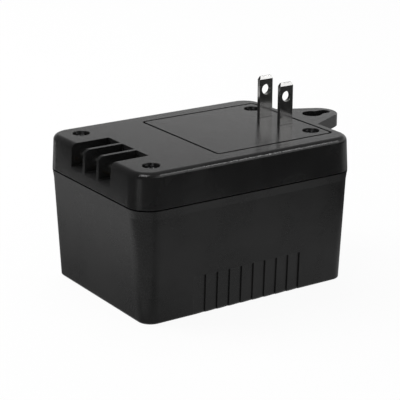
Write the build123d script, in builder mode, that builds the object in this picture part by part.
from build123d import *
from math import atan, degrees
import os

# A plug-in low voltage transformer, lying on its flat room-side face with the wall side up. Millimetres.
# The origin is the centre of the rest face, +Z is up, the terminal slots are at -X and the keyhole tab at +X.

# Housing
body_length = 92.5            # outside, at the parting line
body_width = 67.5
floor_length = 86.6           # outside, at the rest face
floor_width = 63.7
base_height = 41.5            # rest face to the base's rim
cover_depth = 12.71           # cover's rim to the wall-side face
seam_gap = 0.5                # shadow gap along the parting line
corner_radius = 8.4           # upright corners at the parting line
floor_corner_radius = 5.0     # upright corners at the rest face
flare_height = 3.0            # flared band under the base's rim
flare_out = 0.45
cover_draft = 0.7             # each side, over the cover's depth
cover_edge_radius = 2.2
floor_edge_radius = 0.3
wall = 2.2
base_floor = 2.5
cover_roof = 2.5
tongue_height = 1.6           # tongue on the base's rim, in a rebate of the cover
tongue_offset = 1.1           # from the outside face
tongue_clearance = 0.1

# Grip steps on both long walls
grip_count = 9
grip_pitch = 5.11
grip_depth = 0.5
grip_land = 0.05              # depth left at the flush end of each step
grip_height = 14.4
grip_end_x = 22.05            # where the last step ends, from the middle

# Cover screws in their recesses
left_screw_end_inset = 10.3   # from the end of the body at the slots
left_screw_side_inset = 9.75  # from the side of the body
right_screw_end_inset = 9.85  # from the end of the body at the tab
right_screw_side_inset = 15.2
recess_radius = 3.15
recess_depth = 3.1            # wall-side face to the screw head's seat
recess_rim_radius = 0.3
cover_screw_radius = 1.5
cover_screw_length = 20.0
cover_screw_head_radius = 2.8
cover_screw_head_height = 2.2
screw_clearance = 0.1         # around a screw in a hole that it passes
thread_clearance = 0.02       # around a screw in the hole that it is cut into
boss_wall = 2.1               # around a screw in the base
recess_wall = 1.5             # around a recess in the cover
boss_gap = 0.2                # between a cover boss and the base boss under it
boss_web = 1.6
pilot_end_gap = 1.0

# Grooved field on the wall-side face
field_end_inset = 5.0         # from the end of the body at the tab
field_side_inset = 8.7
field_length = 50.4
field_corner_radius = 1.5
groove_width = 1.0
groove_depth = 0.85

# Keyhole tab
tab_root_half_width = 13.6
tab_root_overlap = 0.5        # of the tab's root and the flat of the wall-side face
tab_tip_reach = 8.1           # end of the body to the centre of the round tip
tab_tip_radius = 7.2
tab_thickness = 4.65
tab_edge_radius = 0.4
keyhole_reach = 5.05          # end of the body to the centre of the round part
keyhole_radius = 3.85
keyhole_slot_half_width = 2.3
keyhole_slot_reach = 13.0     # end of the body to the end of the slot

# Terminal slots
slot_count = 3
slot_width = 8.15
slot_rib = 1.45
slot_length = 15.85           # from the end of the body inwards
slot_depth = 8.2              # from the wall-side face
slot_sill_radius = 0.9
pocket_wall = 2.0             # floor, sides and inner end of the pocket around the slots

# Terminals
plate_width = 6.0
plate_thickness = 0.8
plate_setback = 5.3           # from the end of the body to the plate's outer end
plate_lug = 5.0               # beyond the pocket's inner end
plate_window_clearance = 0.1
terminal_screw_setback = 9.2  # from the end of the body
terminal_screw_radius = 1.75
terminal_screw_length = 6.0
terminal_screw_head_radius = 3.0
terminal_screw_head_height = 2.2
washer_size = 6.4
washer_thickness = 0.6
screw_slot_width = 0.9
screw_slot_depth = 1.0

# Plug blades and their retainer
blade_end_inset = 12.65       # from the end of the body at the tab
blade_spacing = 12.7
blade_width = 5.85
blade_thickness = 1.55
blade_length = 15.95          # beyond the wall-side face
blade_hole_radius = 1.95
blade_hole_height = 10.85
blade_bevel_height = 1.2
blade_bevel_inset = 0.5
blade_clearance = 0.08
shoulder_width = 9.6
shoulder_height = 1.8
tail_width = 5.0
tail_length = 7.0
solder_height = 2.5           # of a lead above the end of the tail
retainer_thickness = 2.0
retainer_margin = 3.2         # around the blade shoulders
retainer_clearance = 0.15
peg_radius = 1.4
peg_offset = 6.0              # each side of the blades' middle
peg_head_radius = 2.1
peg_head_height = 1.2

# Core and coil
core_side_clearance = 1.0     # between the core and the inside of the base at its floor
core_boss_clearance = 1.0     # between the core and the screw bosses
coil_floor_clearance = 0.4
coil_headroom = 6.9           # between the bobbin's flange and the cover's roof
flange_clearance = 0.3
flange_thickness = 1.0
bobbin_clearance = 0.2
bobbin_wall = 0.9
tape_below_flange = 0.7
tape_thickness = 0.3
winding_corner = 1.5
ledge_size = 7.0
hold_down_gap = 0.1

# Thermal fuse and leads
fuse_radius = 1.8
fuse_length = 9.0
fuse_pin_radius = 0.4
fuse_pin_length = 3.7
fuse_y = 6.0
lead_radius = 0.8
lead_bend_share = 0.6         # bend radius, as a share of the run from the coil to the terminal plates
lead_start = 4.3              # from the middle of the coil
lead_flat = 4.4               # length that lies on the tape
lead_lift = 1.4               # above the bobbin's flange where a lead crosses it
lead_fan = 0.6                # share of a terminal's offset at which its lead leaves the coil

# Levels
cover_rim_z = base_height + seam_gap
top_z = cover_rim_z + cover_depth
roof_z = top_z - cover_roof
flare_z = base_height - flare_height
slot_floor_z = top_z - slot_depth
pocket_z = slot_floor_z - pocket_wall
seat_z = top_z - recess_depth
boss_z = base_height + boss_gap
plate_top_z = slot_floor_z + plate_thickness
washer_top_z = plate_top_z + washer_thickness
shoulder_z = roof_z - shoulder_height
retainer_z = shoulder_z - retainer_thickness
tail_z = shoulder_z - tail_length

# Places
end_x = body_length / 2
side_y = body_width / 2
slot_inner_x = -end_x + slot_length
pocket_inner_x = slot_inner_x + pocket_wall
slot_pitch = slot_width + slot_rib
slot_ys = [slot_pitch * ((slot_count - 1) / 2 - i) for i in range(slot_count)]
plate_outer_x = -end_x + plate_setback
plate_inner_x = pocket_inner_x + plate_lug
terminal_places = [(-end_x + terminal_screw_setback, y) for y in slot_ys]
blade_x = end_x - blade_end_inset
blade_ys = [blade_spacing / 2, -blade_spacing / 2]
blade_places = [(blade_x, y) for y in blade_ys]
peg_places = [(blade_x - peg_offset, 0), (blade_x + peg_offset, 0)]
screw_places = []
for side in (1, -1):
    screw_places.append((-end_x + left_screw_end_inset, side * (side_y - left_screw_side_inset)))
    screw_places.append((end_x - right_screw_end_inset, side * (side_y - right_screw_side_inset)))
boss_radius = cover_screw_radius + boss_wall


def base_section(z):
    """Outside length, width and corner radius of the base at a height below its flare."""
    share = z / flare_z
    length = floor_length + share * (body_length - 2 * flare_out - floor_length)
    width = floor_width + share * (body_width - 2 * flare_out - floor_width)
    radius = floor_corner_radius + share * (corner_radius - flare_out - floor_corner_radius)
    return length, width, radius


def base_inside(z):
    """Inside length, width and corner radius of the base at a height."""
    length, width, radius = base_section(z)
    return length - 2 * wall, width - 2 * wall, radius - wall


# The core is a scrapless lamination: with the outer leg as unit, 6 units by 5 with two windows of 3 by 1.
# It fills the width of the base, or the length between the bosses if that is tighter.
room_across = base_inside(base_floor)[1] - 2 * core_side_clearance
room_along = 2 * (min(abs(x) for x, y in screw_places) - boss_radius - core_boss_clearance)
core_unit = min(room_across / 6, room_along / 5)
flange_reach = core_unit - flange_clearance
core_z = base_floor + coil_floor_clearance + flange_reach
flange_top_z = roof_z - coil_headroom
core_top_z = flange_top_z - flange_reach
stack_height = core_top_z - core_z
window_half_length = 1.5 * core_unit
core_half_length = 2.5 * core_unit
core_half_width = 3 * core_unit
leg_width = 2 * core_unit
flange_x = window_half_length - bobbin_clearance
tube_offset = bobbin_clearance + bobbin_wall
section_length = flange_x - 1.5 * flange_thickness
tape_reach = flange_reach - tape_below_flange
winding_reach = tape_reach - tape_thickness
tape_top_z = core_top_z + tape_reach
coil_plane = Plane(origin=(0, 0, (core_z + core_top_z) / 2), x_dir=(0, 1, 0), z_dir=(1, 0, 0))
ledge_places = []
for side_x in (-1, 1):
    for side in (-1, 1):
        ledge_x = side_x * (core_half_length - ledge_size / 2)
        ledge_places.append((ledge_x, side * (core_half_width - core_unit / 2)))

os.makedirs("parts", exist_ok=True)

# Base housing: a drafted tub with a flared rim and a tongue
with BuildPart() as base_housing:
    for z in (0, flare_z):
        with BuildSketch(Plane.XY.offset(z)):
            RectangleRounded(*base_section(z))
    loft(ruled=True)
    fillet(base_housing.edges().group_by(Axis.Z)[0], radius=floor_edge_radius)
    with BuildSketch(Plane.XY.offset(flare_z)):
        RectangleRounded(*base_section(flare_z))
    with BuildSketch(Plane.XY.offset(base_height)):
        RectangleRounded(body_length, body_width, corner_radius)
    loft(ruled=True)
    with BuildSketch(Plane.XY.offset(base_height)):
        RectangleRounded(
            body_length - 2 * tongue_offset, body_width - 2 * tongue_offset, corner_radius - tongue_offset
        )
    extrude(amount=tongue_height)
    # The inside runs out through the tongue
    for z in (base_floor, base_height + tongue_height):
        with BuildSketch(Plane.XY.offset(z)):
            RectangleRounded(*base_inside(z))
    loft(ruled=True, mode=Mode.SUBTRACT)
    # Grip steps: each runs from flush to its full depth, and follows the wall's draft
    wall_lean = (base_section(flare_z)[1] - floor_width) / 2 / flare_z
    for side in (-1, 1):
        steps = []
        for i in range(grip_count):
            start_x = grip_end_x - (grip_count - i) * grip_pitch
            steps.append((start_x, side * (floor_width / 2 - grip_land)))
            steps.append((start_x + grip_pitch, side * (floor_width / 2 - grip_depth)))
        beyond = side * (floor_width / 2 + wall)
        with BuildSketch(Plane.XY):
            with BuildLine():
                Polyline((steps[0][0], beyond), *steps, (steps[-1][0], beyond), close=True)
            make_face()
        extrude(amount=grip_height, dir=(0, side * wall_lean, 1), mode=Mode.SUBTRACT)
    # Screw bosses, each with a web to the end wall
    web_end_x = base_inside(base_floor)[0] / 2 + wall / 2
    with BuildSketch(Plane.XY.offset(base_floor / 2)):
        with Locations(*screw_places):
            Circle(boss_radius)
        for x, y in screw_places:
            web_x = web_end_x if x > 0 else -web_end_x
            with Locations(((x + web_x) / 2, y)):
                Rectangle(abs(web_x - x), boss_web)
    extrude(amount=base_height - base_floor / 2)
    pilot_depth = cover_screw_length - (seat_z - base_height) + pilot_end_gap
    with Locations(Plane.XY.offset(base_height)):
        with Locations(*screw_places):
            Hole(cover_screw_radius + thread_clearance, depth=pilot_depth)
    # Ledges under the core's outer legs
    with BuildSketch(Plane.XY.offset(base_floor / 2)):
        with Locations(*ledge_places):
            Rectangle(ledge_size, ledge_size)
    extrude(amount=core_z - base_floor / 2)
base_housing.part.label = "base_housing"
export_step(base_housing.part, "parts/base_housing.step")

# Keyhole tab, moulded with the cover: two sides tangent to a round tip, with an eased edge on the wall side
tab_root_x = end_x - cover_draft - cover_edge_radius
with BuildPart() as keyhole_tab:
    with BuildSketch(Plane.XY.offset(top_z)):
        with Locations((tab_root_x - tab_root_overlap / 2, 0)):
            Rectangle(tab_root_overlap, 2 * tab_root_half_width)
        with Locations((end_x + tab_tip_reach, 0)):
            Circle(tab_tip_radius)
        make_hull()
    extrude(amount=-tab_thickness)
    on_top = keyhole_tab.edges().group_by(Axis.Z)[-1]
    fillet(on_top.sort_by(Axis.X)[1:], radius=tab_edge_radius)

# Wall cover: a drafted lid with the keyhole tab, the terminal pocket and the seats for screws and blades
cover_taper = degrees(atan(cover_draft / cover_depth))
with BuildPart() as wall_cover:
    with BuildSketch(Plane.XY.offset(cover_rim_z)):
        RectangleRounded(body_length, body_width, corner_radius)
    extrude(amount=cover_depth, taper=cover_taper)
    fillet(wall_cover.edges().group_by(Axis.Z)[-1], radius=cover_edge_radius)
    with BuildSketch(Plane.XY.offset(cover_rim_z)):
        RectangleRounded(body_length - 2 * wall, body_width - 2 * wall, corner_radius - wall)
    extrude(amount=roof_z - cover_rim_z, taper=cover_taper, mode=Mode.SUBTRACT)
    # Rebate for the base's tongue
    rebate_offset = tongue_offset - tongue_clearance
    with BuildSketch(Plane.XY.offset(cover_rim_z)):
        RectangleRounded(
            body_length - 2 * rebate_offset, body_width - 2 * rebate_offset, corner_radius - rebate_offset
        )
    extrude(amount=tongue_height - seam_gap, mode=Mode.SUBTRACT)
    add(keyhole_tab.part)
    keyhole_slot_x = end_x + keyhole_slot_reach - keyhole_slot_half_width
    keyhole_x = end_x + keyhole_reach
    with BuildSketch(Plane.XY.offset(top_z)):
        with Locations((keyhole_x, 0)):
            Circle(keyhole_radius)
        with Locations((keyhole_slot_x, 0)):
            Circle(keyhole_slot_half_width)
        with Locations(((keyhole_x + keyhole_slot_x) / 2, 0)):
            Rectangle(keyhole_slot_x - keyhole_x, 2 * keyhole_slot_half_width)
    extrude(amount=-tab_thickness, mode=Mode.SUBTRACT)
    # Pocket around the terminal slots
    pocket_outer_x = -end_x + wall / 2
    pocket_half_width = slot_ys[0] + slot_width / 2 + pocket_wall
    with BuildSketch(Plane.XY.offset(pocket_z)):
        with Locations(((pocket_outer_x + pocket_inner_x) / 2, 0)):
            Rectangle(pocket_inner_x - pocket_outer_x, 2 * pocket_half_width)
    extrude(amount=roof_z - pocket_z)
    with BuildSketch(Plane.XY.offset(slot_floor_z)):
        for y in slot_ys:
            with Locations((-end_x + slot_length / 2, y)):
                Rectangle(slot_length, slot_width)
    extrude(amount=slot_depth, mode=Mode.SUBTRACT)
    # Windows in the pocket's inner end for the plates, and the holes under the terminal screws
    with BuildSketch(Plane.XY.offset(slot_floor_z)):
        for y in slot_ys:
            with Locations((slot_inner_x + pocket_wall / 2, y)):
                Rectangle(pocket_wall, plate_width + 2 * plate_window_clearance)
    extrude(amount=plate_thickness + plate_window_clearance, mode=Mode.SUBTRACT)
    with Locations(Plane.XY.offset(slot_floor_z)):
        with Locations(*terminal_places):
            Hole(terminal_screw_radius + screw_clearance, depth=pocket_wall)
    # Bosses over the base's bosses, with recesses for the screws
    with BuildSketch(Plane.XY.offset(boss_z)):
        with Locations(*screw_places):
            Circle(recess_radius + recess_wall)
    extrude(amount=roof_z - boss_z)
    with Locations(Plane.XY.offset(top_z)):
        with Locations(*screw_places):
            CounterBoreHole(
                cover_screw_radius + screw_clearance, recess_radius, recess_depth, depth=top_z - boss_z
            )
    # Posts that hold the core down
    with BuildSketch(Plane.XY.offset(core_top_z + hold_down_gap)):
        with Locations(*ledge_places):
            Rectangle(ledge_size, ledge_size)
    extrude(amount=roof_z - core_top_z - hold_down_gap)
    # Pegs for the blade retainer, with their ends spread under it
    with BuildSketch(Plane.XY.offset(retainer_z)):
        with Locations(*peg_places):
            Circle(peg_radius)
    extrude(amount=roof_z - retainer_z)
    with BuildSketch(Plane.XY.offset(retainer_z)):
        with Locations(*peg_places):
            Circle(peg_head_radius)
    extrude(amount=-peg_head_height)
    # Slots for the blades
    with BuildSketch(Plane.XY.offset(top_z)):
        with Locations(*blade_places):
            Rectangle(blade_width + 2 * blade_clearance, blade_thickness + 2 * blade_clearance)
    extrude(amount=-cover_roof, mode=Mode.SUBTRACT)
    # Grooved field
    field_width = body_width - 2 * field_side_inset
    with BuildSketch(Plane.XY.offset(top_z)):
        with Locations((end_x - field_end_inset - field_length / 2, 0)):
            RectangleRounded(
                field_length + groove_width, field_width + groove_width, field_corner_radius + groove_width / 2
            )
            RectangleRounded(
                field_length - groove_width,
                field_width - groove_width,
                field_corner_radius - groove_width / 2,
                mode=Mode.SUBTRACT,
            )
    extrude(amount=-groove_depth, mode=Mode.SUBTRACT)
    # Rounded sills of the slots and rounded rims of the screw recesses
    at_floor = wall_cover.edges().filter_by_position(Axis.Z, slot_floor_z, slot_floor_z)
    fillet(at_floor.filter_by(Axis.Y).sort_by(Axis.X)[:slot_count], radius=slot_sill_radius)
    rims = wall_cover.edges().filter_by(GeomType.CIRCLE).group_by(Axis.Z)[-1]
    fillet(rims.filter_by(lambda rim: abs(rim.radius - recess_radius) < thread_clearance), recess_rim_radius)
wall_cover.part.label = "wall_cover"
export_step(wall_cover.part, "parts/wall_cover.step")

# Plug blades: each a flat strip with a bevelled tip, a hole, a shoulder under the cover and a tail for its lead
tip_z = top_z + blade_length
right_half_outline = [
    (tail_width / 2, tail_z),
    (tail_width / 2, shoulder_z),
    (shoulder_width / 2, shoulder_z),
    (shoulder_width / 2, roof_z),
    (blade_width / 2, roof_z),
    (blade_width / 2, tip_z),
]
blade_outline = [(blade_x + x, z) for x, z in right_half_outline]
blade_outline += [(blade_x - x, z) for x, z in reversed(right_half_outline)]
for number, y in enumerate(blade_ys, start=1):
    with BuildPart() as plug_blade:
        with BuildSketch(Plane.XZ.offset(-y)):
            with BuildLine():
                Polyline(*blade_outline, close=True)
            make_face()
            with Locations((blade_x, top_z + blade_hole_height)):
                Circle(blade_hole_radius, mode=Mode.SUBTRACT)
        extrude(amount=blade_thickness / 2, both=True)
        tip = plug_blade.faces().sort_by(Axis.Z)[-1]
        chamfer(tip.edges(), length=blade_bevel_inset, length2=blade_bevel_height, reference=tip)
    plug_blade.part.label = f"plug_blade_{number}"
    export_step(plug_blade.part, f"parts/plug_blade_{number}.step")

# Blade retainer: a plate under the blade shoulders, on the cover's two pegs
with BuildPart() as blade_retainer:
    with BuildSketch(Plane.XY.offset(retainer_z)):
        with Locations((blade_x, 0)):
            Rectangle(
                shoulder_width + 2 * retainer_margin, blade_spacing + blade_thickness + 2 * retainer_margin
            )
        with Locations(*blade_places):
            Rectangle(
                tail_width + 2 * retainer_clearance, blade_thickness + 2 * retainer_clearance, mode=Mode.SUBTRACT
            )
        with Locations(*peg_places):
            Circle(peg_radius + retainer_clearance, mode=Mode.SUBTRACT)
    extrude(amount=retainer_thickness)
blade_retainer.part.label = "blade_retainer"
export_step(blade_retainer.part, "parts/blade_retainer.step")

# Cover screws: pan heads with a cross, seated in the recesses
with BuildPart() as cover_screws:
    with BuildSketch(Plane.XY.offset(seat_z)):
        with Locations(*screw_places):
            Circle(cover_screw_head_radius)
    extrude(amount=cover_screw_head_height)
    with BuildSketch(Plane.XY.offset(seat_z)):
        with Locations(*screw_places):
            Circle(cover_screw_radius)
    extrude(amount=-cover_screw_length)
    with BuildSketch(Plane.XY.offset(seat_z + cover_screw_head_height)):
        with Locations(*screw_places):
            Rectangle(cover_screw_head_radius, screw_slot_width)
            Rectangle(screw_slot_width, cover_screw_head_radius)
    extrude(amount=-screw_slot_depth, mode=Mode.SUBTRACT)
cover_screws.part.label = "cover_screws"
export_step(cover_screws.part, "parts/cover_screws.step")

# Terminal plates: flat strips on the slot floors, through the pocket's inner end
for number, place in enumerate(terminal_places, start=1):
    with BuildPart() as terminal_plate:
        with BuildSketch(Plane.XY.offset(slot_floor_z)):
            with Locations(((plate_outer_x + plate_inner_x) / 2, place[1])):
                Rectangle(plate_inner_x - plate_outer_x, plate_width)
            with Locations(place):
                Circle(terminal_screw_radius + thread_clearance, mode=Mode.SUBTRACT)
        extrude(amount=plate_thickness)
    terminal_plate.part.label = f"terminal_plate_{number}"
    export_step(terminal_plate.part, f"parts/terminal_plate_{number}.step")

# Square washers under the terminal screws
with BuildPart() as terminal_washers:
    with BuildSketch(Plane.XY.offset(plate_top_z)):
        with Locations(*terminal_places):
            Rectangle(washer_size, washer_size)
            Circle(terminal_screw_radius + screw_clearance, mode=Mode.SUBTRACT)
    extrude(amount=washer_thickness)
terminal_washers.part.label = "terminal_washers"
export_step(terminal_washers.part, "parts/terminal_washers.step")

# Terminal screws: slotted heads on the washers
with BuildPart() as terminal_screws:
    with BuildSketch(Plane.XY.offset(washer_top_z)):
        with Locations(*terminal_places):
            Circle(terminal_screw_head_radius)
    extrude(amount=terminal_screw_head_height)
    with BuildSketch(Plane.XY.offset(washer_top_z)):
        with Locations(*terminal_places):
            Circle(terminal_screw_radius)
    extrude(amount=-terminal_screw_length)
    with BuildSketch(Plane.XY.offset(washer_top_z + terminal_screw_head_height)):
        with Locations(*terminal_places):
            Rectangle(2 * terminal_screw_head_radius, screw_slot_width)
    extrude(amount=-screw_slot_depth, mode=Mode.SUBTRACT)
terminal_screws.part.label = "terminal_screws"
export_step(terminal_screws.part, "parts/terminal_screws.step")

# Core: the E stack has its back towards the blades, the I stack closes it towards the terminals
with BuildPart() as core_e_stack:
    with BuildSketch(Plane.XY.offset(core_z)):
        with Locations(((core_half_length - window_half_length) / 2, 0)):
            Rectangle(core_half_length + window_half_length, 2 * core_half_width)
        with Locations((0, 1.5 * core_unit), (0, -1.5 * core_unit)):
            Rectangle(2 * window_half_length, core_unit, mode=Mode.SUBTRACT)
    extrude(amount=stack_height)
core_e_stack.part.label = "core_e_stack"
export_step(core_e_stack.part, "parts/core_e_stack.step")

with BuildPart() as core_i_stack:
    with BuildSketch(Plane.XY.offset(core_z)):
        with Locations((-(core_half_length + window_half_length) / 2, 0)):
            Rectangle(core_half_length - window_half_length, 2 * core_half_width)
    extrude(amount=stack_height)
core_i_stack.part.label = "core_i_stack"
export_step(core_i_stack.part, "parts/core_i_stack.step")

# Bobbin: a square tube on the centre leg with two end flanges and a divider
with BuildPart() as bobbin:
    with BuildSketch(coil_plane):
        Rectangle(leg_width + 2 * tube_offset, stack_height + 2 * tube_offset)
    extrude(amount=flange_x, both=True)
    for x in (-flange_x + flange_thickness / 2, 0, flange_x - flange_thickness / 2):
        with BuildSketch(coil_plane.offset(x)):
            RectangleRounded(leg_width + 2 * flange_reach, stack_height + 2 * flange_reach, winding_corner)
        extrude(amount=flange_thickness / 2, both=True)
    with BuildSketch(coil_plane):
        Rectangle(leg_width + 2 * bobbin_clearance, stack_height + 2 * bobbin_clearance)
    extrude(amount=flange_x, both=True, mode=Mode.SUBTRACT)
bobbin.part.label = "bobbin"
export_step(bobbin.part, "parts/bobbin.step")

# Windings and the tape over them: the primary is towards the blades, the secondary towards the terminals
for coil_name, side in (("primary", 1), ("secondary", -1)):
    section_plane = coil_plane.offset(side * (flange_thickness + section_length) / 2)
    with BuildPart() as winding:
        with BuildSketch(section_plane):
            RectangleRounded(leg_width + 2 * winding_reach, stack_height + 2 * winding_reach, winding_corner)
            Rectangle(leg_width + 2 * tube_offset, stack_height + 2 * tube_offset, mode=Mode.SUBTRACT)
        extrude(amount=section_length / 2, both=True)
    winding.part.label = f"{coil_name}_winding"
    export_step(winding.part, f"parts/{coil_name}_winding.step")
    with BuildPart() as tape:
        with BuildSketch(section_plane):
            RectangleRounded(
                leg_width + 2 * tape_reach, stack_height + 2 * tape_reach, winding_corner + tape_thickness
            )
            RectangleRounded(
                leg_width + 2 * winding_reach,
                stack_height + 2 * winding_reach,
                winding_corner,
                mode=Mode.SUBTRACT,
            )
        extrude(amount=section_length / 2, both=True)
    tape.part.label = f"{coil_name}_tape"
    export_step(tape.part, f"parts/{coil_name}_tape.step")

# Thermal fuse: lies on the primary's tape, with one pin down to the winding and one towards the blades
fuse_x = (flange_thickness + section_length) / 2
fuse_z = tape_top_z + fuse_radius
fuse_pin_x = fuse_x + fuse_length / 2 + fuse_pin_length
down_pin_x = flange_thickness / 2 + 2 * fuse_pin_radius
fuse_plane = Plane(origin=(fuse_x, fuse_y, fuse_z), x_dir=(0, 1, 0), z_dir=(1, 0, 0))
with BuildPart() as thermal_fuse:
    with BuildSketch(fuse_plane):
        Circle(fuse_radius)
    extrude(amount=fuse_length / 2, both=True)
    for pin_end_x in (fuse_pin_x, down_pin_x):
        with BuildSketch(fuse_plane):
            Circle(fuse_pin_radius)
        extrude(amount=pin_end_x - fuse_x)
    with BuildSketch(Plane.XY.offset(tape_top_z)):
        with Locations((down_pin_x, fuse_y)):
            Circle(fuse_pin_radius)
    extrude(amount=fuse_radius)
thermal_fuse.part.label = "thermal_fuse"
export_step(thermal_fuse.part, "parts/thermal_fuse.step")

# Leads: round insulated wires with eased bends, from the coil to the blade tails and to the terminal plates
solder_y = blade_spacing / 2 - blade_thickness / 2 - lead_radius
solder_z = tail_z + solder_height
on_tape_z = tape_top_z + lead_radius
on_plate_z = plate_top_z + lead_radius
over_flange_z = flange_top_z + lead_lift + lead_radius
over_flange_x = flange_x + lead_lift
over_plate_x = plate_inner_x + plate_lug / 2
lead_bend_radius = lead_bend_share * (-over_flange_x - over_plate_x)
lead_routes = {
    "line_lead": [
        (fuse_pin_x, fuse_y, fuse_z),
        (core_half_length - lead_radius, fuse_y, fuse_z),
        (blade_x - tail_width, solder_y, solder_z),
        (blade_x + tail_width / 2, solder_y, solder_z),
    ],
    "neutral_lead": [
        (lead_start, -fuse_y, on_tape_z),
        (lead_start + lead_flat, -fuse_y, on_tape_z),
        (over_flange_x, -fuse_y, over_flange_z),
        (blade_x - tail_width, -solder_y, solder_z),
        (blade_x + tail_width / 2, -solder_y, solder_z),
    ],
}
for number, y in enumerate(slot_ys, start=1):
    lead_routes[f"secondary_lead_{number}"] = [
        (-lead_start, lead_fan * y, on_tape_z),
        (-lead_start - lead_flat, lead_fan * y, on_tape_z),
        (-over_flange_x, lead_fan * y, over_flange_z),
        (over_plate_x, y, on_plate_z),
        (pocket_inner_x + lead_radius, y, on_plate_z),
    ]
for lead_name, route in lead_routes.items():
    with BuildPart() as lead:
        with BuildLine() as lead_path:
            FilletPolyline(*route, radius=lead_bend_radius)
        with BuildSketch(Plane(origin=lead_path.line @ 0, z_dir=lead_path.line % 0)):
            Circle(lead_radius)
        sweep(path=lead_path.line)
    lead.part.label = lead_name
    export_step(lead.part, f"parts/{lead_name}.step")
